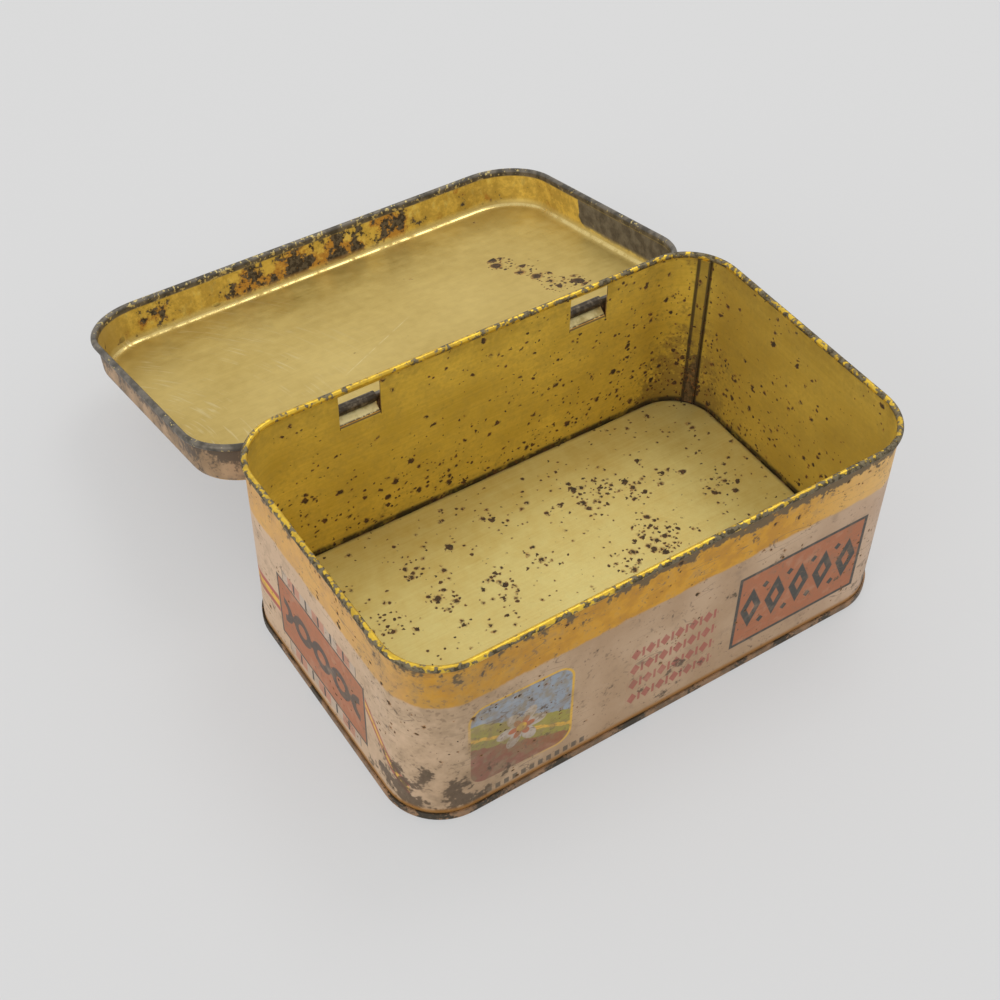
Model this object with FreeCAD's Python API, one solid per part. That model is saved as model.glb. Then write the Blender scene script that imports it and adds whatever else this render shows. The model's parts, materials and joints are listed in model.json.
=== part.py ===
"""Small hinged spice tin of tinplate, standing open with its lid thrown back.

Units are millimetres. The origin is the centre of the base, in the plane the tin stands on.
+X runs along the long side, +Y points to the hinged back, +Z is up. Three pieces of sheet metal make
the tin: the wrapped wall with its rolled rim, side seam and two hinge tongues, the bottom clinched
round the foot of the wall, and the lid, whose rolled hem turns inside the tongues.
"""

import FreeCAD, Part
import math
import os

Vector = FreeCAD.Vector

# --- driving dimensions -------------------------------------------------------------------------
sheet = 0.3  # thickness of the tinplate

# can
body_length = 102.0  # outside of the wall, along X
body_width = 62.3  # outside of the wall, along Y
body_height = 40.6  # from the surface it stands on to the top of the rim
body_corner_radius = 10.4  # outside of the wall
rim_roll_radius = 0.6  # outside radius of the rolled rim
rim_overhang = 0.5  # how far the rolled rim stands proud of the wall

# bottom, clinched round the foot of the wall
floor_height = 3.0  # top face of the floor
floor_edge_radius = 0.8  # outside of the bend round the floor
seam_gap = 0.1  # sealing compound between the wall and the clinched bottom
seam_height = 1.8  # how far the clinch reaches up the outside
seam_bend_radius = 0.4  # outside radius of the clinch's two lower bends

# side seam, a flat fold up the inside of the back right corner
side_seam_width = 2.3
side_seam_depth = 0.45  # how far it stands in from the wall
side_seam_angle = 36.0  # place on the corner arc, in degrees from +X towards +Y

# lid
lid_gap = 0.7  # between the rim and the lid's skirt when it is shut
lid_hem_radius = 0.65  # outside radius of the rolled hem
lid_depth = 8.8  # from the lowest point of the hem to the outside of the top
lid_edge_radius = 2.2  # outside of the bend between skirt and top

# hinge
hinge_drop = 6.8  # axis of the hinge below the top of the rim
hinge_spacing = 49.4  # between the middles of the two windows
window_width = 8.5
window_land = 0.3  # left between a window and the rim's roll
tongue_side_gap = 0.15  # on each side of a tongue in its window
tongue_drop = 2.7  # where the tongue leaves the wall, below the hinge axis
tongue_bend_radius = 0.6  # there, at the middle of the sheet
tongue_end_angle = 200.0  # where the curl ends, in degrees round the hem from +Y
pin_clearance = 0.08  # between the hem and the curl
slot_side_gap = 0.4  # on each side of a tongue in the lid's slot
slot_end_gap = 0.9  # between the curl and the end of the slot, with the lid shut
open_angle = 193.2  # how far the lid turns back from shut

# --- places that follow from them ---------------------------------------------------------------
rim_centre_out = rim_overhang - rim_roll_radius  # of the rim's roll, from the outside of the wall
rim_centre_height = body_height - rim_roll_radius
rim_underside = body_height - 2 * rim_roll_radius
wall_foot = sheet + seam_gap  # lower edge of the wall, just clear of the clinch
hinge_out = rim_overhang + lid_gap + lid_hem_radius  # of the hinge axis, from the wall
hinge_y = body_width / 2 + hinge_out
hinge_height = body_height - hinge_drop
curl_outside = lid_hem_radius + pin_clearance + sheet  # radius of a tongue's curl
window_bottom = hinge_height - tongue_drop
window_top = rim_underside - window_land
window_centres = (-hinge_spacing / 2, hinge_spacing / 2)
tongue_width = window_width - 2 * tongue_side_gap
skirt_inside = -lid_hem_radius  # the skirt's two faces, from the middle of the hem
skirt_outside = skirt_inside + sheet
lid_top = lid_depth - lid_hem_radius  # outside of the top, from the middle of the hem


# --- sections: faces in the XZ plane, x outward and z up ----------------------------------------
def bar(x_low, z_low, x_high, z_high):
    """A straight stretch of sheet, or any other upright rectangle."""
    corners = [(x_low, z_low), (x_high, z_low), (x_high, z_high), (x_low, z_high), (x_low, z_low)]
    return Part.Face(Part.makePolygon([Vector(x, 0, z) for x, z in corners]))


def on_circle(centre, radius, degrees):
    """The point at an angle on a circle in the XZ plane, counted from x towards z."""
    turn = math.radians(degrees)
    return Vector(centre[0] + radius * math.cos(turn), 0, centre[1] + radius * math.sin(turn))


def bend(centre, outer_radius, start, end):
    """A curved stretch of sheet between two angles, its outside at the outer radius."""
    inner_radius = outer_radius - sheet
    middle = (start + end) / 2

    def arc(radius, first, last):
        points = [on_circle(centre, radius, angle) for angle in (first, middle, last)]
        return Part.Arc(*points).toShape()

    edges = [
        arc(outer_radius, start, end),
        Part.makeLine(on_circle(centre, outer_radius, end), on_circle(centre, inner_radius, end)),
        arc(inner_radius, end, start),
        Part.makeLine(on_circle(centre, inner_radius, start), on_circle(centre, outer_radius, start)),
    ]
    return Part.Face(Part.Wire(edges))


def joined(shapes):
    """One face or solid from several that touch or overlap."""
    return shapes[0].multiFuse(shapes[1:]).removeSplitter()


def carried_round(section, length, width, radius):
    """Carry a section round a rounded rectangle that lies where the section's x is 0."""
    pieces = []
    for quarter in range(4):
        along, across = (length, width) if quarter % 2 == 0 else (width, length)
        run = across - 2 * radius
        side = section.translated(Vector(along / 2, -run / 2, 0)).extrude(Vector(0, run, 0))
        corner = section.translated(Vector(radius, 0, 0)).revolve(Vector(), Vector(0, 0, 1), 90)
        corner.translate(Vector(along / 2 - radius, run / 2, 0))
        for piece in (side, corner):
            pieces.append(piece.rotated(Vector(), Vector(0, 0, 1), 90 * quarter))
    return joined(pieces)


def rounded_plate(length, width, radius, low, high):
    """A flat plate with rounded corners between two heights."""
    plate = Part.makeBox(length, width, high - low, Vector(-length / 2, -width / 2, low))
    upright = [edge for edge in plate.Edges if abs(edge.tangentAt(edge.FirstParameter).z) > 0.9]
    return plate.makeFillet(radius, upright)


# --- the can's wall -----------------------------------------------------------------------------
def wall_shell():
    """The wrapped wall and its rim, rolled outward over the top and left open underneath."""
    rim_centre = (rim_centre_out, rim_centre_height)
    upright = bar(-sheet, wall_foot, 0, rim_underside + sheet * 2 / 3)
    roll = bend(rim_centre, rim_roll_radius, -45, 280)
    return carried_round(joined([upright, roll]), body_length, body_width, body_corner_radius)


def side_seam():
    """The flat fold that joins the wall's two ends, up the inside of the back right corner."""
    outer = body_corner_radius - sheet / 2
    inner = body_corner_radius - sheet - side_seam_depth
    low = floor_height + seam_gap
    high = rim_underside + sheet / 2
    spread = math.degrees(side_seam_width / inner)
    fold = bar(inner, low, outer, high).revolve(Vector(), Vector(0, 0, 1), spread)
    fold.rotate(Vector(), Vector(0, 0, 1), side_seam_angle - spread / 2)
    corner = Vector(body_length / 2 - body_corner_radius, body_width / 2 - body_corner_radius, 0)
    return fold.translated(corner)


def window(centre):
    """The opening that a tongue was cut from, through the back wall."""
    reach = 2 * sheet
    low_corner = Vector(centre - window_width / 2, body_width / 2 - sheet - reach, window_bottom)
    return Part.makeBox(window_width, sheet + 2 * reach, window_top - window_bottom, low_corner)


def tongue_section():
    """A tongue from the side: it bends out of the wall, rises and curls round the lid's hem."""
    curl_radius = curl_outside - sheet / 2  # middle of the sheet
    curl_centre = (hinge_out, hinge_height)
    bend_centre = (tongue_bend_radius - sheet / 2, window_bottom)
    apart = math.dist(curl_centre, bend_centre)
    towards = math.atan2(curl_centre[1] - bend_centre[1], curl_centre[0] - bend_centre[0])
    rise = towards - math.asin((curl_radius + tongue_bend_radius) / apart)  # slope of the ramp
    run = math.sqrt(apart**2 - (curl_radius + tongue_bend_radius) ** 2)  # length of the ramp
    slope = math.degrees(rise)
    ramp = bar(0, -sheet / 2, run, sheet / 2)
    ramp.rotate(Vector(), Vector(0, -1, 0), slope)
    ramp.translate(on_circle(bend_centre, tongue_bend_radius, slope + 90))
    return joined(
        [
            bar(-sheet, window_bottom - sheet, 0, window_bottom),
            bend(bend_centre, tongue_bend_radius + sheet / 2, slope + 90, 180),
            ramp,
            bend(curl_centre, curl_outside, slope - 90, tongue_end_angle),
        ]
    )


def tongue(centre):
    """A tongue of the back wall, in its window."""
    strip = tongue_section().extrude(Vector(0, tongue_width, 0))
    strip.rotate(Vector(), Vector(0, 0, 1), 90)
    return strip.translated(Vector(centre + tongue_width / 2, body_width / 2, 0))


def can_wall():
    """The wall in one piece of sheet: shell, side seam, windows and tongues."""
    shell = joined([wall_shell(), side_seam()])
    shell = shell.cut([window(centre) for centre in window_centres])
    return joined([shell] + [tongue(centre) for centre in window_centres])


# --- the can's bottom ---------------------------------------------------------------------------
def can_bottom():
    """The floor, sunk between its edge bend and the clinch that grips the foot of the wall."""
    leg_outside = -sheet - seam_gap  # of the inner leg, against the inside of the wall
    leg_inside = leg_outside - sheet
    clinch_inside = seam_gap
    clinch_outside = seam_gap + sheet
    edge_centre = (leg_outside - floor_edge_radius, floor_height - floor_edge_radius)
    inner_turn = (leg_inside + seam_bend_radius, seam_bend_radius)
    outer_turn = (clinch_outside - seam_bend_radius, seam_bend_radius)
    section = joined(
        [
            bend(edge_centre, floor_edge_radius, 0, 90),
            bar(leg_inside, seam_bend_radius, leg_outside, edge_centre[1]),
            bend(inner_turn, seam_bend_radius, 180, 270),
            bar(inner_turn[0], 0, outer_turn[0], sheet),
            bend(outer_turn, seam_bend_radius, 270, 360),
            bar(clinch_inside, seam_bend_radius, clinch_outside, seam_height),
        ]
    )
    ring = carried_round(section, body_length, body_width, body_corner_radius)
    floor = rounded_plate(
        body_length + 2 * edge_centre[0],
        body_width + 2 * edge_centre[0],
        body_corner_radius + edge_centre[0],
        floor_height - sheet,
        floor_height,
    )
    return joined([ring, floor])


# --- the lid ------------------------------------------------------------------------------------
def slot(centre):
    """The opening above the hem that lets the lid swing past a tongue, with the lid shut."""
    width = tongue_width + 2 * slot_side_gap
    height = curl_outside + slot_end_gap
    reach = sheet / 3  # past each face of the skirt
    low_corner = Vector(centre - width / 2, hinge_y + skirt_inside - reach, hinge_height)
    cut = Part.makeBox(width, sheet + 2 * reach, height, low_corner)
    hem_start = Vector(centre - width / 2, hinge_y, hinge_height)
    return cut.cut(Part.makeCylinder(lid_hem_radius, width, hem_start, Vector(1, 0, 0)))


def lid():
    """The lid, shaped shut and then turned back about the hinge."""
    edge_centre = (skirt_outside - lid_edge_radius, lid_top - lid_edge_radius)
    section = joined(
        [
            bend((0, 0), lid_hem_radius, 180, 445),
            bar(skirt_inside, 0, skirt_outside, edge_centre[1]),
            bend(edge_centre, lid_edge_radius, 0, 90),
        ]
    )
    length = body_length + 2 * hinge_out
    width = body_width + 2 * hinge_out
    radius = body_corner_radius + hinge_out
    tray = carried_round(section, length, width, radius)
    top = rounded_plate(
        length + 2 * edge_centre[0],
        width + 2 * edge_centre[0],
        radius + edge_centre[0],
        lid_top - sheet,
        lid_top,
    )
    shut = joined([tray, top]).translated(Vector(0, 0, hinge_height))
    shut = shut.cut([slot(centre) for centre in window_centres])
    return shut.rotated(Vector(0, hinge_y, hinge_height), Vector(1, 0, 0), -open_angle)


def main():
    """Write one STEP file for each piece."""
    os.makedirs("parts", exist_ok=True)
    pieces = {"can_wall": can_wall(), "can_bottom": can_bottom(), "lid": lid()}
    for name, shape in pieces.items():
        solid = shape.Solids[0]
        solid.exportStep("parts/" + name + ".step")
        print(name, len(shape.Solids), shape.isValid(), round(solid.Volume, 2), solid.BoundBox)


main()
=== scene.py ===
"""The saffron tin, dressed for rendering: materials, camera, light and floor."""

import json
import math

import bpy
from mathutils import Matrix, Vector


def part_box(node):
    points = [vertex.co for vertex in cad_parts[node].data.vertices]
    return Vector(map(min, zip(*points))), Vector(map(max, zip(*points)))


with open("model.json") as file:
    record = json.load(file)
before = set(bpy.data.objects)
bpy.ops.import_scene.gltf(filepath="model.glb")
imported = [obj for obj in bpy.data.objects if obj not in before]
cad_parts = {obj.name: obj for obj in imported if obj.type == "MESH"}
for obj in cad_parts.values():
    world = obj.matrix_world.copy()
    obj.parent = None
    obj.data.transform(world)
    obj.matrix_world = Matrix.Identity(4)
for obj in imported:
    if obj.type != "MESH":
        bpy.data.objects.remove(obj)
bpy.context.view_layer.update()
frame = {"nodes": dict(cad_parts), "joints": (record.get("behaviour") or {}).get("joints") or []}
scene = bpy.context.scene

# --- sizes in millimetres, as the model has them ------------------------------------------------
MM = 0.001
RIM_PROUD = 0.5  # the rolled rim beyond the wall
CORNER = 10.4  # outside corner radius of the wall
RIM_UNDER = 39.4  # underside of the rolled rim
FLOOR = 3.0  # top face of the can's floor
LID_TOP = 8.15  # outside of the lid's top above its hinge axis, when shut
LID_BEND = 2.2  # outside of the bend between its skirt and top
SKIRT_IN = 0.35  # the lid's skirt outside is this far inside the middle of its hem
MID_SHEET = (-0.2, -0.1)  # from the inner to the outer face of the sheet, from its outside
BAND_FOOT = 30.4  # lower edge of the yellow band
SEAM_ANGLE = math.radians(36.0)  # place of the side seam on its corner, from +X towards +Y
SEAM_RADIUS = CORNER - 0.75  # the seam's middle from the corner's own middle
SEAM_HALF = 1.15  # half the width of the seam's raised fold

wall_low, wall_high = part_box("can_wall")
HALF_X = wall_high.x / MM - RIM_PROUD
HALF_Y = -wall_low.y / MM - RIM_PROUD
hinge = frame["joints"][0]
HINGE_Y, HINGE_Z = hinge["pos_m"][1] / MM, hinge["pos_m"][2] / MM
HINGE_OUT = HINGE_Y - HALF_Y
OPEN = math.radians(hinge["range_deg"][1])

# --- camera -------------------------------------------------------------------------------------
AZIMUTH, ELEVATION, ROLL = math.radians(-33.91), math.radians(46.35), math.radians(1.03)
TARGET = Vector((-8.20, 10.65, 19.62)) * MM
DISTANCE = 297.8 * MM
SENSOR_MM, LENS_MM = 36, 59.6
CLIP_NEAR, CLIP_FAR = 0.01, 20


def make_camera():
    back = Vector(
        (
            math.sin(AZIMUTH) * math.cos(ELEVATION),
            -math.cos(AZIMUTH) * math.cos(ELEVATION),
            math.sin(ELEVATION),
        )
    )
    right = Vector((math.cos(AZIMUTH), math.sin(AZIMUTH), 0))
    up = back.cross(right)
    turned_right = right * math.cos(ROLL) + up * math.sin(ROLL)
    turned_up = up * math.cos(ROLL) - right * math.sin(ROLL)
    camera = bpy.data.objects.new("camera", bpy.data.cameras.new("camera"))
    scene.collection.objects.link(camera)
    axes = Matrix((turned_right, turned_up, back)).transposed().to_4x4()
    camera.matrix_world = Matrix.Translation(TARGET + back * DISTANCE) @ axes
    camera.data.sensor_width = SENSOR_MM
    camera.data.lens = LENS_MM
    camera.data.clip_start = CLIP_NEAR
    camera.data.clip_end = CLIP_FAR
    scene.camera = camera


make_camera()


# --- node arithmetic ----------------------------------------------------------------------------
def plug(tree, value, socket):
    """Link a node value to a socket, or set the socket to a plain one."""
    if isinstance(value, Val):
        value = value.socket
    if isinstance(value, bpy.types.NodeSocket):
        tree.links.new(value, socket)
    elif isinstance(value, tuple) and len(value) == 3 and socket.type == "RGBA":
        socket.default_value = (*value, 1)
    else:
        socket.default_value = value


class Val:
    """A number in a node tree; arithmetic with it makes math nodes."""

    def __init__(self, tree, socket):
        self.tree, self.socket = tree, socket

    def calc(self, operation, *values, clamp=False):
        node = self.tree.nodes.new("ShaderNodeMath")
        node.operation = operation
        node.use_clamp = clamp
        for value, socket in zip(values, node.inputs):
            plug(self.tree, value, socket)
        return Val(self.tree, node.outputs[0])

    def __add__(self, other):
        return self.calc("ADD", self, other)

    def __sub__(self, other):
        return self.calc("SUBTRACT", self, other)

    def __rsub__(self, other):
        return self.calc("SUBTRACT", other, self)

    def __mul__(self, other):
        return self.calc("MULTIPLY", self, other)

    def __truediv__(self, other):
        return self.calc("DIVIDE", self, other)

    def __neg__(self):
        return self.calc("MULTIPLY", self, -1.0)

    def __abs__(self):
        return self.calc("ABSOLUTE", self)

    __radd__, __rmul__ = __add__, __mul__

    def low(self, other):
        return self.calc("MINIMUM", self, other)

    def high(self, other):
        return self.calc("MAXIMUM", self, other)

    def clamp(self):
        return self.calc("ADD", self, 0.0, clamp=True)

    def root(self):
        return self.calc("SQRT", self)

    def ramp(self, start, end):
        """0 before start and 1 after end, smooth between; start may be above end."""
        node = self.tree.nodes.new("ShaderNodeMapRange")
        node.interpolation_type = "SMOOTHSTEP"
        plug(self.tree, self, node.inputs["Value"])
        node.inputs["From Min"].default_value = start
        node.inputs["From Max"].default_value = end
        return Val(self.tree, node.outputs["Result"])

    def inside(self, low, high, soft=0.1):
        """1 between low and high."""
        half = (high - low) / 2
        return abs(self - (high + low) / 2).ramp(half + soft, half - soft)

    def wrap(self, period):
        """Distance from the nearest multiple of a period."""
        return abs(self.calc("WRAP", self, period / 2, -period / 2))


def length(first, second):
    """Length of a vector with these two parts."""
    return (first * first + second * second).root()


def box_mask(u, v, half_u, half_v, soft=0.12):
    """1 inside a rectangle about the origin."""
    return u.inside(-half_u, half_u, soft) * v.inside(-half_v, half_v, soft)


class Paint:
    """The node tree of one material, with coordinates in millimetres."""

    def __init__(self, name):
        self.material = bpy.data.materials.new(name)
        self.material.use_nodes = True
        self.tree = self.material.node_tree
        self.shader = self.tree.nodes["Principled BSDF"]
        self.place = self.tree.nodes.new("ShaderNodeTexCoord").outputs["Object"]
        self.place = self.vector("SCALE", self.place, scale=1 / MM)

    def vector(self, operation, *values, scale=None):
        node = self.tree.nodes.new("ShaderNodeVectorMath")
        node.operation = operation
        for value, socket in zip(values, node.inputs):
            plug(self.tree, value, socket)
        if scale is not None:
            plug(self.tree, scale, node.inputs["Scale"])
        return node.outputs[0]

    def split(self, vector):
        node = self.tree.nodes.new("ShaderNodeSeparateXYZ")
        plug(self.tree, vector, node.inputs[0])
        return [Val(self.tree, socket) for socket in node.outputs]

    def join(self, x, y, z):
        node = self.tree.nodes.new("ShaderNodeCombineXYZ")
        for value, socket in zip((x, y, z), node.inputs):
            plug(self.tree, value, socket)
        return node.outputs[0]

    def noise(self, size, detail, seed, at=None, stretch=(1, 1, 1), rough=0.55):
        """Smooth noise, mostly 0.3 to 0.7, whose largest lumps are about size millimetres."""
        node = self.tree.nodes.new("ShaderNodeTexNoise")
        place = self.place if at is None else at
        factors = tuple(1 / (size * s) for s in stretch)
        place = self.vector("MULTIPLY_ADD", place, factors, (seed * 7.3, seed * 3.1, seed * 5.7))
        plug(self.tree, place, node.inputs["Vector"])
        node.inputs["Scale"].default_value = 1.0
        node.inputs["Detail"].default_value = detail
        node.inputs["Roughness"].default_value = rough
        return Val(self.tree, node.outputs["Fac"])

    def spots(self, at, cell, amount, grit, mottle, seed):
        """Ragged spots on a flat pair of coordinates, and their stains.

        cell is the spots' spacing, and amount is from 0, none, to 1, crowded.
        """
        push = self.join(grit - 0.5, mottle - 0.5, 0.0)
        place = self.vector("ADD", at, self.vector("SCALE", push, scale=min(cell, 1.6) * 0.9))
        shift = (seed * 3.7, seed * 9.1, 0)
        place = self.vector("MULTIPLY_ADD", place, (1 / cell,) * 3, shift)
        cells = self.tree.nodes.new("ShaderNodeTexVoronoi")
        cells.voronoi_dimensions = "2D"
        plug(self.tree, place, cells.inputs["Vector"])
        cells.inputs["Scale"].default_value = 1.0
        red, green, blue = self.split(cells.outputs["Color"])
        chance = (red + amount - 1.0).ramp(0.0, 0.15)
        radius = chance * (green * green * 0.30 + 0.12) * (grit * 1.4 + 0.3)
        gap = radius - Val(self.tree, cells.outputs["Distance"])
        stain = gap.ramp(-0.22, 0.04) * chance.ramp(0.2, 0.6) * blue.ramp(0.1, 0.5)
        return gap.ramp(-0.01, 0.05), stain

    def pits(self, at, cells, amounts, grits, mottle, seeds):
        """Large and small spots together."""
        kinds = [
            self.spots(at, cell, amount, grit, mottle, seed)
            for cell, amount, grit, seed in zip(cells, amounts, grits, seeds)
        ]
        (large, large_halo), (small, small_halo) = kinds
        return large.high(small), large_halo.high(small_halo)

    def mix(self, factor, first, second):
        """Mix two colours."""
        node = self.tree.nodes.new("ShaderNodeMix")
        node.data_type = "RGBA"
        plug(self.tree, factor, node.inputs[0])
        plug(self.tree, first, node.inputs[6])
        plug(self.tree, second, node.inputs[7])
        return node.outputs[2]

    def lean(self, factor, first, second):
        """Mix two numbers."""
        node = self.tree.nodes.new("ShaderNodeMix")
        node.data_type = "FLOAT"
        plug(self.tree, factor, node.inputs[0])
        plug(self.tree, first, node.inputs[2])
        plug(self.tree, second, node.inputs[3])
        return Val(self.tree, node.outputs[0])

    def far_from(self, place, centre):
        """Distance of a vector from a fixed point."""
        node = self.tree.nodes.new("ShaderNodeVectorMath")
        node.operation = "DISTANCE"
        plug(self.tree, place, node.inputs[0])
        plug(self.tree, centre, node.inputs[1])
        return Val(self.tree, node.outputs["Value"])

    def edge_distance(self, x, y, half_x, half_y, radius):
        """How far a point lies outside a rounded rectangle."""
        over_x = abs(x) - (half_x - radius)
        over_y = abs(y) - (half_y - radius)
        outside = length(over_x.high(0.0), over_y.high(0.0))
        return outside + over_x.high(over_y).low(0.0) - radius

    def blob(self, x, y, places):
        """Soft round patches, each (x, y, radius, strength); the strongest counts."""
        flat = self.join(x, y, 0.0)
        total = None
        for centre_x, centre_y, radius, strength in places:
            patch = self.far_from(flat, (centre_x, centre_y, 0.0)).ramp(radius, 0.0) * strength
            total = patch if total is None else total.high(patch)
        return total

    def finish(self, colour, metallic, roughness, height, node):
        """Wire the shader and put the material on a node of the model."""
        plug(self.tree, colour, self.shader.inputs["Base Color"])
        plug(self.tree, metallic, self.shader.inputs["Metallic"])
        plug(self.tree, roughness, self.shader.inputs["Roughness"])
        bump = self.tree.nodes.new("ShaderNodeBump")
        bump.inputs["Distance"].default_value = MM
        bump.inputs["Strength"].default_value = 1.0
        plug(self.tree, height, bump.inputs["Height"])
        self.tree.links.new(bump.outputs["Normal"], self.shader.inputs["Normal"])
        frame["nodes"][node].data.materials[0] = self.material


# --- colours, linear ----------------------------------------------------------------------------
# lacquered tinplate
FLOOR_PALE, FLOOR_DEEP = (0.73, 0.64, 0.26), (0.60, 0.46, 0.14)
WALL_PALE, WALL_DEEP = (0.94, 0.70, 0.13), (0.62, 0.44, 0.07)
LID_PALE, LID_DEEP = (0.63, 0.475, 0.155), (0.50, 0.355, 0.09)
SKIRT_PALE, SKIRT_DEEP = (0.96, 0.70, 0.14), (0.62, 0.43, 0.08)
RIM_PALE, RIM_DEEP = (0.74, 0.49, 0.05), (0.55, 0.35, 0.04)
WALL_CLOUD = (0.36, 0.255, 0.065)
# painted shade for the inside of the right end
WALL_END_PAINTED_SHADE = (0.36, 0.25, 0.07)
WALL_TOP = (0.30, 0.21, 0.05)
# painted shade inside the lid by its far wall
LID_SHADE = (0.32, 0.21, 0.045)
LID_ARC = (0.74, 0.64, 0.36)
LID_SCRATCH = (0.80, 0.70, 0.42)
# painted highlight along the fold inside the lid
LID_FOLD_HIGHLIGHT = (0.86, 0.68, 0.30)
# the tongue's pale tone is partly lacquer, partly painted light from above
TONGUE_LIT_PALE, TONGUE_DEEP = (0.74, 0.62, 0.30), (0.50, 0.39, 0.15)
HEM_LACQUER = (0.60, 0.48, 0.20)
# bare metal
STEEL_DARK, STEEL_GREY = (0.13, 0.115, 0.09), (0.26, 0.24, 0.20)
RING_DARK, RING_PALE = (0.17, 0.105, 0.055), (0.36, 0.21, 0.11)
RIM_BARE_DARK, RIM_BARE_GREY = (0.075, 0.058, 0.032), (0.20, 0.165, 0.10)
CURL_DARK, CURL_GREY = (0.05, 0.038, 0.025), (0.17, 0.135, 0.09)
HEM_DARK, HEM_GREY = (0.085, 0.075, 0.06), (0.19, 0.165, 0.13)
# rust and dirt
RUST_DARK = (0.050, 0.036, 0.020)
RUST_BROWN = (0.13, 0.066, 0.028)
RUST_ORANGE = (0.36, 0.15, 0.03)
SKIRT_RUST = (0.13, 0.10, 0.06)
SKIRT_HALO = (0.50, 0.19, 0.02)
SKIRT_PATCH_DARK, SKIRT_PATCH_GREY = (0.10, 0.08, 0.055), (0.19, 0.16, 0.11)
FLOOR_JOINT = (0.10, 0.075, 0.03)
WALL_JOINT = (0.045, 0.035, 0.02)
WALL_STAIN = (0.20, 0.115, 0.035)
SEAM_TINT = (0.26, 0.18, 0.05)
SEAM_LINE = (0.05, 0.035, 0.02)
SEAM_RUST_DARK, SEAM_RUST_BROWN = (0.05, 0.036, 0.022), (0.16, 0.10, 0.055)
CUT_EDGE = (0.085, 0.06, 0.035)
TONGUE_ROOT = (0.10, 0.06, 0.03)
# print
CREAM, CREAM_SHADE = (0.53, 0.37, 0.235), (0.42, 0.275, 0.16)
# painted light: lighter cream and band towards the right and at the left end
CREAM_LIT_RIGHT, CREAM_LIT_LEFT = (0.66, 0.46, 0.35), (0.66, 0.47, 0.31)
BAND, BAND_SHADE = (0.66, 0.33, 0.022), (0.50, 0.235, 0.018)
BAND_LIT_RIGHT, BAND_LIT_LEFT = (0.84, 0.56, 0.24), (0.74, 0.50, 0.28)
PANEL = (0.40, 0.145, 0.065)
PRINT_DARK = (0.065, 0.060, 0.050)
PRINT_RED = (0.42, 0.10, 0.07)
PRINT_BLUE = (0.22, 0.33, 0.46)
PRINT_GREEN = (0.27, 0.27, 0.06)
PRINT_WINE = (0.22, 0.06, 0.045)
PRINT_YELLOW = (0.72, 0.42, 0.06)
ORNAMENT = (0.36, 0.085, 0.065)
PETAL = (0.46, 0.42, 0.40)
HATCH = (0.42, 0.36, 0.31)
LID_SKIRT_DARK, LID_SKIRT_PALE = (0.26, 0.165, 0.085), (0.42, 0.27, 0.15)
# wear of the print
BAND_STAIN = (0.26, 0.13, 0.03)
PICTURE_STAIN = (0.20, 0.16, 0.09)
SCUFF = (0.25, 0.17, 0.11)
VEIL = (0.24, 0.165, 0.085)
SPECK = (0.20, 0.13, 0.075)
GRIME = (0.085, 0.055, 0.032)
RUBBED = (0.115, 0.082, 0.042)
SCRATCH = (0.16, 0.11, 0.07)
FOOT_STAIN = (0.36, 0.17, 0.045)
LID_RUBBED = (0.085, 0.06, 0.04)
LID_EDGE = (0.20, 0.14, 0.09)


def lacquer(paint, grain, seed, cloud, mottle, deep, pale):
    """Lacquered tinplate: colour and roughness. grain stretches the rolling marks."""
    streaks = paint.noise(1.0, 1, seed, stretch=grain)
    tone = cloud * 1.5 + streaks * 0.7 + mottle * 1.2 - 1.2
    colour = paint.mix(tone.clamp(), deep, pale)
    rough = (streaks + mottle) * 0.3 + 0.18
    return colour, rough


def rust_over(paint, finish, core, halo, grit):
    """Rust pits over a finish of colour, metallic and roughness."""
    colour, metallic, rough = finish
    stain = paint.mix(grit.ramp(0.35, 0.65), RUST_BROWN, RUST_ORANGE)
    colour = paint.mix(halo * 0.75, colour, stain)
    colour = paint.mix(core, colour, paint.mix(grit.ramp(0.4, 0.7), RUST_DARK, RUST_BROWN))
    metallic = metallic * (1 - halo.high(core))
    rough = paint.lean(core.high(halo * 0.6), rough, 0.85)
    return colour, metallic, rough


def cover(paint, mask, below, above):
    """One finish over another where the mask is 1."""
    colour = paint.mix(mask, below[0], above[0])
    return colour, paint.lean(mask, below[1], above[1]), paint.lean(mask, below[2], above[2])


# --- the can's bottom ---------------------------------------------------------------------------
# crowds of pits on the floor: x, y, radius and strength
FLOOR_CROWDS = (
    (17, 15.5, 8, 1.0),
    (25, 12, 7, 0.9),
    (8, 15, 5, 0.85),
    (21, 0, 9, 0.85),
    (12, -3, 8, 0.7),
    (-22, 8, 6, 0.85),
    (-33, 9, 6, 0.8),
    (-23, 17, 6, 0.65),
    (-12, 5, 9, 0.7),
    (-2, 6, 6, 0.65),
    (-4, 21, 9, 0.55),
    (40, 5, 11, 0.55),
)


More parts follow.
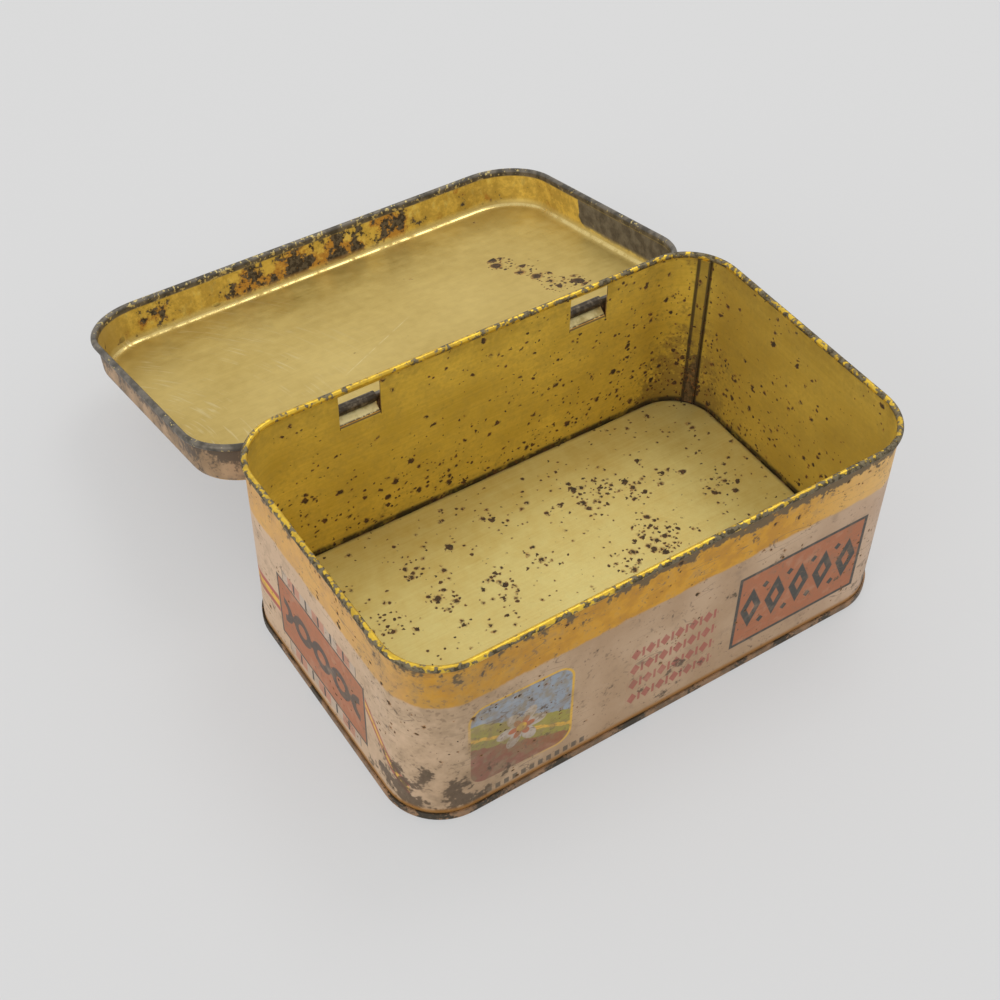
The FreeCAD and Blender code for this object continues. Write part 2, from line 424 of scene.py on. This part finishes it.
def bottom_material():
    paint = Paint("bottom_metal")
    x, y, z = paint.split(paint.place)
    cloud = paint.noise(24, 2, 1)
    mottle = paint.noise(3.2, 3, 2, rough=0.7)
    grit = paint.noise(0.6, 2, 3)
    patchy = paint.noise(7, 1, 5).ramp(0.35, 0.65)
    distance = paint.edge_distance(x, y, HALF_X, HALF_Y, CORNER)
    inside = z.ramp(FLOOR - 0.05, FLOOR - 0.02)
    # floor: dirt along the joint with the wall, painted shade towards the front left, pits in
    # crowds
    colour, rough = lacquer(paint, (26, 0.35, 1), 4, cloud, mottle, FLOOR_DEEP, FLOOR_PALE)
    joint = (distance + 0.3).ramp(-1.5, -0.1) * mottle.ramp(0.3, 0.55)
    # painted shade: the floor darker towards its front left corner
    colour = paint.mix(x.ramp(5, -45) * y.ramp(5, -28) * 0.35, colour, FLOOR_DEEP)
    colour = paint.mix(joint * 0.85, colour, FLOOR_JOINT)
    crowd = paint.blob(x, y, FLOOR_CROWDS).ramp(0.05, 0.7) * (patchy * 0.45 + 0.40)
    crowd = crowd.high(patchy * 0.18 + 0.08)
    core, halo = paint.pits(
        paint.place, (1.9, 0.95), (crowd, crowd * 0.9), (grit, grit), mottle, (2, 3)
    )
    floor = rust_over(paint, (colour, 0.42 - joint * 0.3, rough), core, halo, grit)
    # clinched ring, stained brown, and underside, bare
    ring = paint.mix(mottle.ramp(0.35, 0.60), RING_DARK, RING_PALE)
    dirt = (grit * 0.5 + patchy * 0.3 + mottle * 0.2).ramp(0.48, 0.60)
    ring = paint.mix(dirt, ring, RUST_DARK)
    bare = paint.mix(mottle.ramp(0.35, 0.62), STEEL_DARK, STEEL_GREY)
    ring = paint.mix(z.ramp(0.25, 0.05), ring, bare)
    finish = cover(paint, inside, (ring, 0.35, mottle * 0.4 + 0.35), floor)
    paint.finish(*finish, mottle * 0.06, "can_bottom")


# --- print --------------------------------------------------------------------------------------
def panel_print(paint, u, v, colour):
    """A panel with a dark frame and a row of lozenges."""
    half_u, half_v, frame_width, pitch = 14.3, 9.3, 0.7, 5.4
    frame_area = box_mask(u, v, half_u, half_v)
    field = box_mask(u, v, half_u - frame_width, half_v - frame_width)
    along = u.wrap(pitch)
    lozenge = (along / 2.3 + abs(v) / 5.2).ramp(1.05, 0.95)
    core = (along / 0.9 + abs(v) / 2.0).ramp(1.1, 0.9)
    small = ((u + pitch / 2).wrap(pitch) / 0.8 + abs(abs(v) - 4.6) / 0.9).ramp(1.1, 0.9)
    dark = (lozenge * (1 - core)).high(small) * u.inside(-13.0, 13.0)
    colour = paint.mix(frame_area, colour, PRINT_DARK)
    return paint.mix(field, colour, paint.mix(dark, PANEL, PRINT_DARK))


def rows_print(paint, u, v, colour):
    """Four rows of small red marks and bars."""
    row_pitch, pitch = 4.0, 3.0
    line = (v + row_pitch / 2).wrap(row_pitch)
    mark = ((u - 0.45).wrap(pitch) / 1.05 + line / 1.45).ramp(1.1, 0.9)
    bar = (u - 1.95).wrap(pitch).ramp(0.32, 0.22) * line.ramp(1.25, 1.05)
    rows = mark.high(bar) * u.inside(-9.8, 8.7) * v.inside(-8.0, 8.0)
    return paint.mix(rows * 0.8, colour, ORNAMENT)


def picture_print(paint, u, v, colour, haze, mottle):
    """Slanting fields of colour behind a flower, in a yellow edge."""
    edge = paint.edge_distance(u, v + u * 0.05, 10.2, 10.4, 3.5)
    colour = paint.mix(edge.ramp(0.12, -0.1) * (u + v).ramp(-12, 2), colour, PRINT_YELLOW)
    lean = v + u * 0.45 + (haze - 0.5) * 3.0
    fields = paint.mix(lean.ramp(2.2, 2.6), PRINT_GREEN, PRINT_BLUE)
    fields = paint.mix(lean.inside(-1.8, -0.9), fields, PRINT_YELLOW)
    fields = paint.mix(lean.ramp(-3.4, -3.8), fields, PRINT_WINE)
    reach = length(u, v)
    angle = u.calc("ARCTAN2", v, u) * 3.0
    petals = abs(angle.calc("COSINE", angle)) * 2.6 + 2.4
    fields = paint.mix((petals - reach).ramp(0.0, 0.3), fields, PETAL)
    fields = paint.mix((petals * 0.55 - reach).ramp(0.0, 0.3), fields, PRINT_RED)
    fields = paint.mix(reach.ramp(1.1, 0.9), fields, PRINT_YELLOW)
    fields = paint.mix(mottle.ramp(0.42, 0.7) * 0.6, fields, PICTURE_STAIN)
    return paint.mix(edge.ramp(-0.35, -0.6) * 0.85, colour, fields)


def long_side_print(paint, u, v, colour, haze, mottle):
    """Print of the two long sides: a panel, ornament rows, a picture and dashes."""
    colour = panel_print(paint, u - 27.0, v - 15.9, colour)
    colour = rows_print(paint, u, v - 13.7, colour)
    colour = picture_print(paint, u + 31.3, v - 16.6, colour, haze, mottle)
    dash = u.wrap(1.7).ramp(0.55, 0.42) * v.inside(2.9, 4.3, 0.15) * u.inside(-41.0, -18.0)
    return paint.mix(dash * 0.8, colour, PRINT_DARK)


def end_print(paint, u, v, colour):
    """Print of the two ends: a panel between hatched strips, with a ribbon on each side."""
    level = v - 14.6
    half_u, half_v, frame_width, pitch = 14.9, 7.9, 0.5, 6.6
    frame_area = box_mask(u, level, half_u, half_v)
    field = box_mask(u, level, half_u - frame_width, half_v - frame_width)
    strip = u.inside(-12.5, 12.5) * (abs(level) - 9.4).inside(-1.3, 1.3)
    hatch = paint.mix(u.wrap(8.4).ramp(2.2, 2.0), HATCH, PRINT_RED)
    colour = paint.mix(strip * 0.55, colour, hatch)
    colour = paint.mix(strip * u.wrap(4.2).ramp(0.35, 0.2), colour, PRINT_DARK)
    ring = abs(length(u.wrap(pitch), level) - 2.3).ramp(0.95, 0.75)
    bead = length((u + pitch / 2).wrap(pitch), level).ramp(0.95, 0.78)
    dark = ring.high(bead) * u.inside(-13.0, 13.0)
    colour = paint.mix(frame_area, colour, PRINT_DARK)
    colour = paint.mix(field, colour, paint.mix(dark * 0.9, PANEL, PRINT_DARK))
    # ribbons: a level one at the rear, a slanting one at the front
    rear = abs(v - 13.6)
    reach = u.inside(-24.5, -15.0)
    colour = paint.mix(reach * rear.ramp(2.2, 2.0), colour, PRINT_RED)
    colour = paint.mix(reach * rear.ramp(0.95, 0.75), colour, PRINT_YELLOW)
    slant = abs((u - 15.0) * 0.74 + (v - 19.0) * 0.67)
    reach = u.inside(15.0, 26.0)
    colour = paint.mix(reach * slant.ramp(1.15, 0.95), colour, PRINT_RED)
    return paint.mix(reach * slant.ramp(0.5, 0.35), colour, PRINT_YELLOW)


# --- the can's wall -----------------------------------------------------------------------------
# dirty places on the print, at the front left corner, the foot at the right and low in the middle:
# x, y, z, how much wider than tall, distances from edge to core, and strength
DIRTY_PLACES = (
    (-47, -27, 3, 1.183, 19, 4, 0.24),
    (47, -29, 5, 1.0, 11, 3, 0.16),
    (-1, -31, 8, 1.265, 9, 2, 0.15),
)
SEAM_AT = (47.5, 27.5, 0.0)  # the side seam in plan


class Wall:
    """Coordinates and noises that the faces of the wall share."""

    def __init__(self, paint):
        self.x, self.y, self.z = paint.split(paint.place)
        self.distance = paint.edge_distance(self.x, self.y, HALF_X, HALF_Y, CORNER)
        self.cloud = paint.noise(12, 1, 11)
        self.haze = paint.noise(5, 3, 13, rough=0.72)
        self.patch = paint.noise(3.6, 3, 15, rough=0.75)
        self.grit = paint.noise(0.7, 2, 16)
        self.mottle = paint.noise(1.6, 1, 19)
        self.thick = self.cloud.ramp(0.35, 0.65)
        flat = paint.join(self.x, self.y, 0.0)
        self.near_seam = paint.far_from(flat, SEAM_AT)


def wall_print(paint, wall):
    """The print as it was new: cream with its designs, and the yellow band, with painted light
    making both lighter towards the right and at the left end.
    """
    x, y, z, haze, patch = wall.x, wall.y, wall.z, wall.haze, wall.patch
    colour = paint.mix(wall.cloud.ramp(0.3, 0.7), CREAM_SHADE, CREAM)
    # painted light: the cream lighter towards the right and at the left end
    colour = paint.mix(x.ramp(15, 48) * 0.30, colour, CREAM_LIT_RIGHT)
    colour = paint.mix(x.ramp(-39, -51.5) * 0.60, colour, CREAM_LIT_LEFT)
    side_x, side_y = x.calc("SIGN", x), y.calc("SIGN", y)
    on_long = (abs(y) - HALF_Y).ramp(-0.35, -0.25)
    on_end = (abs(x) - HALF_X).ramp(-3.0, -2.6)
    long_side = long_side_print(paint, -(x * side_y), z, colour, haze, wall.mottle)
    end_side = end_print(paint, y * side_x, z, colour)
    colour = paint.mix(on_long, colour, long_side)
    colour = paint.mix(on_end, colour, end_side)
    colour = paint.mix(haze.ramp(0.5, 0.25) * 0.30, colour, CREAM)
    band = paint.mix(haze.ramp(0.35, 0.65), BAND_SHADE, BAND)
    # painted light: the band lighter towards the right and at the left end
    band = paint.mix(x.ramp(18, 44) * 0.55, band, BAND_LIT_RIGHT)
    band = paint.mix(x.ramp(-47, -51.5) * 0.30, band, BAND_LIT_LEFT)
    band = paint.mix(z.ramp(33.5, 38.5) * patch.ramp(0.42, 0.60) * 0.32, band, BAND_STAIN)
    on_band = (z + haze * 1.6 - 0.8).ramp(BAND_FOOT - 0.35, BAND_FOOT + 0.35)
    return paint.mix(on_band, colour, band)


def wall_wear(paint, wall, colour):
    """Scuffs, stains and wear over the print."""
    x, y, z = wall.x, wall.y, wall.z
    haze, patch, grit = wall.haze, wall.patch, wall.grit
    colour = paint.mix(haze.ramp(0.52, 0.72) * 0.40, colour, SCUFF)
    veil = x.ramp(-10, -44) * (-y).ramp(5, 25) * (patch * 0.5 + haze * 0.5).ramp(0.30, 0.62)
    colour = paint.mix(veil * 0.42, colour, VEIL)
    speck = (grit * 0.6 + patch * 0.4 + veil * 0.03).ramp(0.57, 0.64)
    colour = paint.mix(speck * 0.55, colour, SPECK)
    soiled = patch
    for centre_x, centre_y, centre_z, widening, edge, core, strength in DIRTY_PLACES:
        widened = paint.vector("MULTIPLY", paint.place, (1, 1, widening))
        distance = paint.far_from(widened, (centre_x, centre_y, centre_z * widening))
        soiled = soiled + distance.ramp(edge, core) * strength
    colour = paint.mix(soiled.ramp(0.64, 0.74) * 0.85, colour, GRIME)
    # rubbed through under the rim
    under_rim = x.ramp(-35, 20) * 0.15 + 0.05 - x.ramp(30, 48) * 0.07
    near_rim = z.ramp(33.0, 39.0) * 0.10 + z.ramp(36.4, 39.2) * under_rim
    rubbed = (patch * 0.6 + haze * 0.2 + grit * 0.2 + near_rim).ramp(0.63, 0.69)
    colour = paint.mix(rubbed * 0.9, colour, RUBBED)
    scratch = abs(paint.noise(9, 1, 18, stretch=(2.5, 2.5, 0.35)) - 0.5).ramp(0.007, 0.002)
    colour = paint.mix(scratch * wall.thick.ramp(0.4, 0.7) * 0.6, colour, SCRATCH)
    return paint.mix(z.ramp(3.2, 2.1) * 0.9, colour, FOOT_STAIN)


def wall_inside(paint, wall):
    """The lacquered inside, more stained low down, with painted shade on the right end and the
    side seam.
    """
    x, y, z = wall.x, wall.y, wall.z
    haze, patch, grit = wall.haze, wall.patch, wall.grit
    colour, rough = lacquer(paint, (26, 26, 0.5), 21, wall.cloud, patch, WALL_DEEP, WALL_PALE)
    colour = paint.mix(grit.ramp(0.4, 0.7) * 0.35, colour, WALL_DEEP)
    colour = paint.mix(z.ramp(34.0, 39.0) * haze.ramp(0.4, 0.6) * 0.35, colour, WALL_TOP)
    near_foot = wall.near_seam.ramp(16, 2) * (z.ramp(30, 8) * 0.7 + 0.3)
    stain = patch * 0.4 + haze * 0.3 + grit * 0.3 + near_foot * 0.24 + z.ramp(12, 3) * 0.05
    stain = stain.ramp(0.58, 0.76)
    colour = paint.mix(stain * 0.75, colour, WALL_STAIN)
    # painted shade: the inside of the right end darker
    colour = paint.mix(x.ramp(49.0, 50.4) * 0.40, colour, WALL_END_PAINTED_SHADE)
    colour = paint.mix(patch.ramp(0.42, 0.62) * 0.28, colour, WALL_CLOUD)
    joint = z.ramp(FLOOR + 1.1, FLOOR + 0.2) * patch.ramp(0.25, 0.5)
    colour = paint.mix(joint * 0.9, colour, WALL_JOINT)
    metallic = 0.5 - stain * 0.2 - joint * 0.3
    # side seam: dark lines along both edges, rusty at the foot
    from_x, from_y = x - (HALF_X - CORNER), y - (HALF_Y - CORNER)
    turn = from_y.calc("ARCTAN2", from_y, from_x)
    across = abs(turn - SEAM_ANGLE) * SEAM_RADIUS
    corner = from_x.ramp(0, 0.5) * from_y.ramp(0, 0.5)
    strip = across.ramp(SEAM_HALF + 0.1, SEAM_HALF - 0.1) * corner
    colour = paint.mix(strip * 0.55, colour, SEAM_TINT)
    line = (across - SEAM_HALF).inside(-0.35, 0.35, 0.15) * corner
    rusty = (patch * 0.5 + haze * 0.5 + z.ramp(24, 5) * 0.25).ramp(0.54, 0.66)
    rusty = across.ramp(1.9, 0.8) * corner * rusty
    rust = paint.mix(grit.ramp(0.35, 0.65), SEAM_RUST_DARK, SEAM_RUST_BROWN)
    colour = paint.mix(rusty * 0.9, colour, rust)
    colour = paint.mix(line * 0.9, colour, SEAM_LINE)
    dark = line.high(rusty)
    return colour, metallic * (1 - dark * 0.8), paint.lean(dark, rough, 0.7)


def tongue_finish(paint, wall):
    """Hinge tongues: pale lacquer where they slope out, painted paler for the light they catch
    from above; dark and worn where they curl.
    """
    patch, grit = wall.patch, wall.grit
    curl = length(wall.y - HINGE_Y, wall.z - HINGE_Z).ramp(1.25, 1.08)
    # painted highlight: the sloping tongue paler where it faces the light from above
    slope = paint.mix(patch.ramp(0.45, 0.65), TONGUE_LIT_PALE, TONGUE_DEEP)
    root = (wall.y - HALF_Y).ramp(0.40, 0.1) * grit.ramp(0.35, 0.5)
    slope = paint.mix(root, slope, TONGUE_ROOT)
    curled = paint.mix((grit * 0.4 + patch * 0.6).ramp(0.45, 0.65), CURL_DARK, CURL_GREY)
    return paint.mix(curl, slope, curled), 0.4, 0.4


def rim_finish(paint, wall):
    """Rolled rim: bright lacquer, worn to grey metal in chips, most at the right and outside."""
    chips = wall.mottle * 0.4 + wall.patch * 0.2 + wall.grit * 0.4
    chips = chips + (wall.distance - 0.1).ramp(-0.1, 0.4) * 0.12
    chips = chips + wall.x.ramp(-20, 45) * 0.07 + wall.y.ramp(-30, 0) * 0.02
    chips = chips.ramp(0.53, 0.59)
    bare = paint.mix(wall.grit.ramp(0.4, 0.6), RIM_BARE_DARK, RIM_BARE_GREY)
    colour = paint.mix(wall.patch.ramp(0.4, 0.6), RIM_PALE, RIM_DEEP)
    return paint.mix(chips, colour, bare), 0.6, chips * 0.25 + 0.30


def wall_material():
    paint = Paint("printed_tinplate")
    wall = Wall(paint)
    x, y, z, distance = wall.x, wall.y, wall.z, wall.distance
    outside = distance.ramp(*MID_SHEET) * z.ramp(RIM_UNDER + 0.1, RIM_UNDER)
    tongue = (y - HALF_Y).ramp(0.02, 0.05) * z.ramp(RIM_UNDER - 0.1, RIM_UNDER - 0.2)
    on_rim = z.ramp(RIM_UNDER, RIM_UNDER + 0.15)
    printed = wall_wear(paint, wall, wall_print(paint, wall))
    inner, inner_metal, rough = wall_inside(paint, wall)
    colour = paint.mix(outside, inner, printed)
    metallic = inner_metal * (1 - outside)
    rough = paint.lean(outside, rough, wall.haze * 0.25 + 0.36)
    # pits: sparse on the print, thicker inside, low down and by the seam
    crowd = wall.thick * 0.14 + wall.near_seam.ramp(16, 4) * 0.14 + z.ramp(33, 10) * 0.15 + 0.04
    crowd = paint.lean(outside, crowd, wall.thick * 0.12 + 0.03)
    side_x, side_y = x.calc("SIGN", x), y.calc("SIGN", y)
    round_wall = paint.join(x * side_y - y * side_x, z, 0.0)
    grit = wall.grit
    core, halo = paint.pits(
        round_wall, (1.7, 0.9), (crowd, crowd), (grit, grit), wall.mottle, (5, 6)
    )
    finish = rust_over(paint, (colour, metallic, rough), core, halo, grit)
    # cut edges of the windows, halfway through the sheet
    cut = distance.inside(-0.24, -0.06, 0.03) * z.inside(FLOOR + 0.5, RIM_UNDER - 0.5)
    finish = (paint.mix(cut * 0.85, finish[0], CUT_EDGE), *finish[1:])
    finish = cover(paint, tongue, finish, tongue_finish(paint, wall))
    finish = cover(paint, on_rim, finish, rim_finish(paint, wall))
    paint.shader.inputs["Specular IOR Level"].default_value = 0.25
    paint.finish(*finish, wall.haze * 0.09, "can_wall")


# --- the lid ------------------------------------------------------------------------------------
# crowds of pits on the inside of the lid's top: x, y, radius and strength
LID_CROWDS = (
    (31, -7, 4.2, 1.0),
    (33, -1, 3.4, 0.9),
    (34.5, 9, 4.6, 1.0),
    (38, 10.5, 4.0, 1.0),
    (34, 4, 3.4, 0.8),
)
# rust on the far wall of the lid's skirt: x, z, radius and strength
SKIRT_PATCHES = (
    (-36, 38, 8, 0.6),
    (-14, 39.5, 11, 0.9),
    (-4, 39.5, 12, 1.0),
    (7, 39.0, 11, 1.0),
    (18, 38, 11, 0.8),
)
ARC_X, ARC_Y = -85.0, 12.0  # middle of the curved scratches on the lid's inside


class Lid:
    """Coordinates of the shut lid, turned back about the hinge, and its noises."""

    def __init__(self, paint):
        turn = paint.tree.nodes.new("ShaderNodeVectorRotate")
        turn.rotation_type = "X_AXIS"
        plug(paint.tree, paint.place, turn.inputs["Vector"])
        turn.inputs["Center"].default_value = (0, HINGE_Y, HINGE_Z)
        turn.inputs["Angle"].default_value = OPEN
        paint.place = turn.outputs[0]
        self.x, self.y, self.z = paint.split(paint.place)
        self.up = self.z - HINGE_Z  # above the hinge axis, towards the lid's top
        self.cloud = paint.noise(22, 1, 41)
        self.haze = paint.noise(7, 2, 42)
        self.patch = paint.noise(3.2, 4, 43, rough=0.75)
        self.mottle = paint.noise(2.4, 2, 44)
        self.grit = paint.noise(0.7, 2, 45)
        self.on_hem = self.up.ramp(0.95, 0.6)
        self.on_top = self.up.ramp(LID_TOP - 0.12, LID_TOP - 0.05)
        self.floor = self.up.ramp(LID_TOP - 2.4, LID_TOP - 0.9)
        self.far = self.y.ramp(-22, -33)


def lid_outside(paint, lid):
    """1 on the lid's outer faces."""
    distance = paint.edge_distance(
        lid.x, lid.y, HALF_X + HINGE_OUT, HALF_Y + HINGE_OUT, CORNER + HINGE_OUT
    )
    on_side = (distance + SKIRT_IN).ramp(*MID_SHEET)
    # the rounded edge, told from the inside by its distance from the bend's middle
    out = (distance + SKIRT_IN + LID_BEND).high(0.0)
    over = (lid.up - (LID_TOP - LID_BEND)).high(0.0)
    on_bend = length(out, over).ramp(*(LID_BEND + depth for depth in MID_SHEET))
    return on_side.high(lid.on_top).high(on_bend)


def lid_inside(paint, lid):
    """Lacquered inside with scratches, painted shade by the far wall, a polished fold with a
    painted highlight, and pits.
    """
    x, y, up, floor = lid.x, lid.y, lid.up, lid.floor
    haze, mottle, grit = lid.haze, lid.mottle, lid.grit
    colour, rough = lacquer(paint, (26, 0.4, 1), 46, lid.cloud, mottle, LID_DEEP, LID_PALE)
    # painted shade: the lid's top darker towards its far wall
    shade = haze.ramp(0.25, 0.60) * y.ramp(-8, -30) * floor
    colour = paint.mix(shade * 0.45, colour, LID_SHADE)
    swing = length(x - ARC_X, y - ARC_Y)
    around = (y - ARC_Y).calc("ARCTAN2", y - ARC_Y, x - ARC_X)
    arcs = paint.noise(0.5, 1, 47, at=paint.join(swing, around * 3, 0.0)).ramp(0.55, 0.70)
    arcs = arcs * floor * x.ramp(5, -35) * haze.ramp(0.4, 0.6)
    colour = paint.mix(arcs * 0.35, colour, LID_ARC)
    long_scratch = abs(y + (x + 5) * 0.55 - 4.4).ramp(0.20, 0.05) * x.inside(-15, 4, 2) * floor
    colour = paint.mix(long_scratch * 0.4 * mottle.ramp(0.3, 0.6), colour, LID_SCRATCH)
    # the fold between top and skirt, polished by wear: glossier, and painted pale as a highlight
    # line
    fold = up.inside(LID_TOP - 1.0, LID_TOP - 0.5, 0.12) * lid.patch.ramp(0.30, 0.55)
    colour = paint.mix(fold * 0.5, colour, LID_FOLD_HIGHLIGHT)
    metallic = floor * -0.1 + 0.6 + fold * 0.4
    rough = paint.lean(fold, rough, 0.2)
    # pits: crowded at the right, along the far skirt, and a few elsewhere
    crowd = (paint.blob(x, y, LID_CROWDS).ramp(0.05, 0.3) * floor).high(
        haze.ramp(0.5, 0.8) * 0.10 + 0.02
    )
    crowd = crowd.high((1 - floor) * lid.far * (haze * 0.5 + 0.15))
    at_end = abs(x).ramp(44, 49)
    over_lid = paint.join(x + up * at_end * 0.45, y + up * (1 - at_end) * 0.45, 0.0)
    core, halo = paint.pits(
        over_lid, (3.4, 1.0), (crowd * floor, crowd * 0.9), (grit + 0.15, grit), mottle, (7, 8)
    )
    return rust_over(paint, (colour, metallic, rough), core, halo, grit)


def skirt_rust(paint, lid, finish):
    """Gold and rust on the inside of the skirt: far wall, and a dark patch near the hinge."""
    colour, metallic, rough = finish
    x, haze, patch, grit = lid.x, lid.haze, lid.patch, lid.grit
    wall = (1 - lid.floor) * (1 - lid.on_hem)
    far_patches = paint.blob(x, lid.z, SKIRT_PATCHES) * lid.far
    far_rust = (patch + far_patches * 0.24 + lid.far * 0.03).ramp(0.66, 0.72)
    near_hinge = paint.edge_distance(lid.y - 12, lid.up - 2.0, 20, 4.4, 2.0).ramp(1.5, -0.5)
    right_patch = x.ramp(47, 50) * near_hinge
    right_rust = (patch * 0.7 + right_patch * 0.7).ramp(0.80, 0.95)
    rust = far_rust.high(right_rust) * wall
    halo = (haze * 0.5 + patch * 0.5 + far_patches * 0.24).ramp(0.58, 0.67) * wall
    grey = paint.mix(grit.ramp(0.4, 0.6), RUST_DARK, SKIRT_RUST)
    patch_grey = paint.mix(lid.mottle.ramp(0.35, 0.65), SKIRT_PATCH_DARK, SKIRT_PATCH_GREY)
    grey = paint.mix(right_rust * 0.7, grey, patch_grey)
    gold = paint.mix(patch.ramp(0.35, 0.6), SKIRT_PALE, SKIRT_DEEP)
    colour = paint.mix(wall * x.ramp(-50, -40) * 0.8, colour, gold)
    colour = paint.mix(halo * 0.75, colour, SKIRT_HALO)
    colour = paint.mix(rust, colour, grey)
    metallic = metallic * (1 - rust * 0.9) * (1 - halo * 0.5)
    return colour, metallic, paint.lean(rust.high(halo * 0.5), rough, 0.75)


def lid_print(paint, lid):
    """Worn print on the outside: a plain skirt, and a top with a border and a panel of rings."""
    x, y, up = lid.x, lid.y, lid.up
    pitch = 10.0
    skirt = paint.mix(lid.haze.ramp(0.35, 0.65), LID_SKIRT_DARK, LID_SKIRT_PALE)
    border = paint.edge_distance(x, y, HALF_X - 3, HALF_Y - 3, 8)
    top = paint.mix(border.ramp(-0.2, 0.2), CREAM, BAND)
    top = paint.mix(abs(border + 1.6).ramp(0.5, 0.3), top, PRINT_RED)
    panel = paint.edge_distance(x, y, 30, 13, 2)
    ring = abs(length(x.wrap(pitch), y) - 3.4).ramp(1.2, 0.9)
    bead = length((x + pitch / 2).wrap(pitch), y).ramp(1.27, 1.05)
    art = paint.mix(ring.high(bead) * abs(x).ramp(28, 27.5), PANEL, PRINT_DARK)
    top = paint.mix(panel.ramp(0.6, 0.4), top, PRINT_DARK)
    top = paint.mix(panel.ramp(-0.3, -0.5), top, art)
    colour = paint.mix(up.ramp(LID_TOP - 1.2, LID_TOP - 0.5), skirt, top)
    # rubbed at the skirt's foot, at the top's edge and here and there
    rubbed = lid.on_top * (border.ramp(-8, 2) * 0.08 + lid.haze * 0.14 - 0.17)
    rubbed = up.ramp(4.5, 0.5) * 0.16 + rubbed
    rubbed = (lid.patch * 0.7 + lid.grit * 0.3 + rubbed).ramp(0.48, 0.62)
    colour = paint.mix(rubbed * 0.9, colour, LID_RUBBED)
    edge = abs(up - (LID_TOP - 1.3)).ramp(1.6, 0.4) * lid.mottle.ramp(0.45, 0.6)
    return paint.mix(edge * 0.6, colour, LID_EDGE), 0.05, 0.5


def hem_finish(paint, lid):
    """Hem: dark worn steel with flecks of bright lacquer."""
    fleck = (lid.patch * 0.4 + lid.grit * 0.6 + lid.far * 0.06 - 0.03).ramp(0.57, 0.61)
    colour = paint.mix(lid.mottle.ramp(0.35, 0.65), HEM_DARK, HEM_GREY)
    return paint.mix(fleck, colour, HEM_LACQUER), 0.6, 0.45


def lid_material():
    paint = Paint("lid_tinplate")
    lid = Lid(paint)
    finish = skirt_rust(paint, lid, lid_inside(paint, lid))
    finish = cover(paint, lid_outside(paint, lid), finish, lid_print(paint, lid))
    finish = cover(paint, lid.on_hem, finish, hem_finish(paint, lid))
    paint.shader.inputs["Specular IOR Level"].default_value = 0.3
    paint.finish(*finish, lid.haze * 0.10, "lid")


# --- floor, world and lamps ---------------------------------------------------------------------
BACKDROP = (0.672, 0.672, 0.672)  # the floor and the studio beyond it, as the camera sees them
FLOOR_WIDTH = 6  # metres
FLOOR_GREY = 0.70
FLOOR_GLOW = 0.6  # share of the plain backdrop colour; the rest takes light and shadow
WORLD_LIGHT = 0.88
LAMPS_AIM = Vector((0, 0.03, 0.02))


def make_floor():
    bpy.ops.mesh.primitive_plane_add(size=FLOOR_WIDTH)
    floor = bpy.context.object
    floor.name = "floor"
    material = bpy.data.materials.new("floor_paper")
    material.use_nodes = True
    tree = material.node_tree
    shader = tree.nodes["Principled BSDF"]
    shader.inputs["Base Color"].default_value = (FLOOR_GREY, FLOOR_GREY, FLOOR_GREY, 1)
    shader.inputs["Roughness"].default_value = 0.9
    glow = tree.nodes.new("ShaderNodeEmission")
    plug(tree, BACKDROP, glow.inputs["Color"])
    rays = tree.nodes.new("ShaderNodeLightPath")
    seen = Val(tree, rays.outputs["Is Camera Ray"]).high(Val(tree, rays.outputs["Is Glossy Ray"]))
    share = seen.high(Val(tree, rays.outputs["Is Transmission Ray"])) * FLOOR_GLOW
    mixed = tree.nodes.new("ShaderNodeMixShader")
    plug(tree, share, mixed.inputs[0])
    plug(tree, shader.outputs[0], mixed.inputs[1])
    plug(tree, glow.outputs[0], mixed.inputs[2])
    plug(tree, mixed.outputs[0], tree.nodes["Material Output"].inputs["Surface"])
    floor.data.materials.append(material)


def make_world():
    world = bpy.data.worlds.new("studio")
    scene.world = world
    world.use_nodes = True
    tree = world.node_tree
    back = tree.nodes["Background"]
    back.inputs["Color"].default_value = (1.0, 1.0, 1.0, 1)
    back.inputs["Strength"].default_value = WORLD_LIGHT
    # beyond the floor's edge the studio looks like the floor
    far = tree.nodes.new("ShaderNodeBackground")
    plug(tree, BACKDROP, far.inputs["Color"])
    rays = tree.nodes.new("ShaderNodeLightPath")
    mixed = tree.nodes.new("ShaderNodeMixShader")
    plug(tree, rays.outputs["Is Camera Ray"], mixed.inputs[0])
    plug(tree, back.outputs[0], mixed.inputs[1])
    plug(tree, far.outputs[0], mixed.inputs[2])
    plug(tree, mixed.outputs[0], tree.nodes["World Output"].inputs["Surface"])


def lamp(name, place, size, power):
    """A square soft lamp that faces the tin; place and size in metres, power in watts."""
    data = bpy.data.lights.new(name, "AREA")
    data.shape = "RECTANGLE"
    data.size = data.size_y = size
    data.energy = power
    light = bpy.data.objects.new(name, data)
    scene.collection.objects.link(light)
    light.location = place
    light.rotation_mode = "QUATERNION"
    light.rotation_quaternion = (Vector(place) - LAMPS_AIM).to_track_quat("Z", "Y")


make_floor()
make_world()
lamp("softbox_top", (0.40, 0.22, 0.85), 0.35, 1.3)
lamp("softbox_left", (-1.1, -0.10, 0.5), 0.8, 2.8)
bottom_material()
wall_material()
lid_material()

scene.view_settings.view_transform = "Standard"
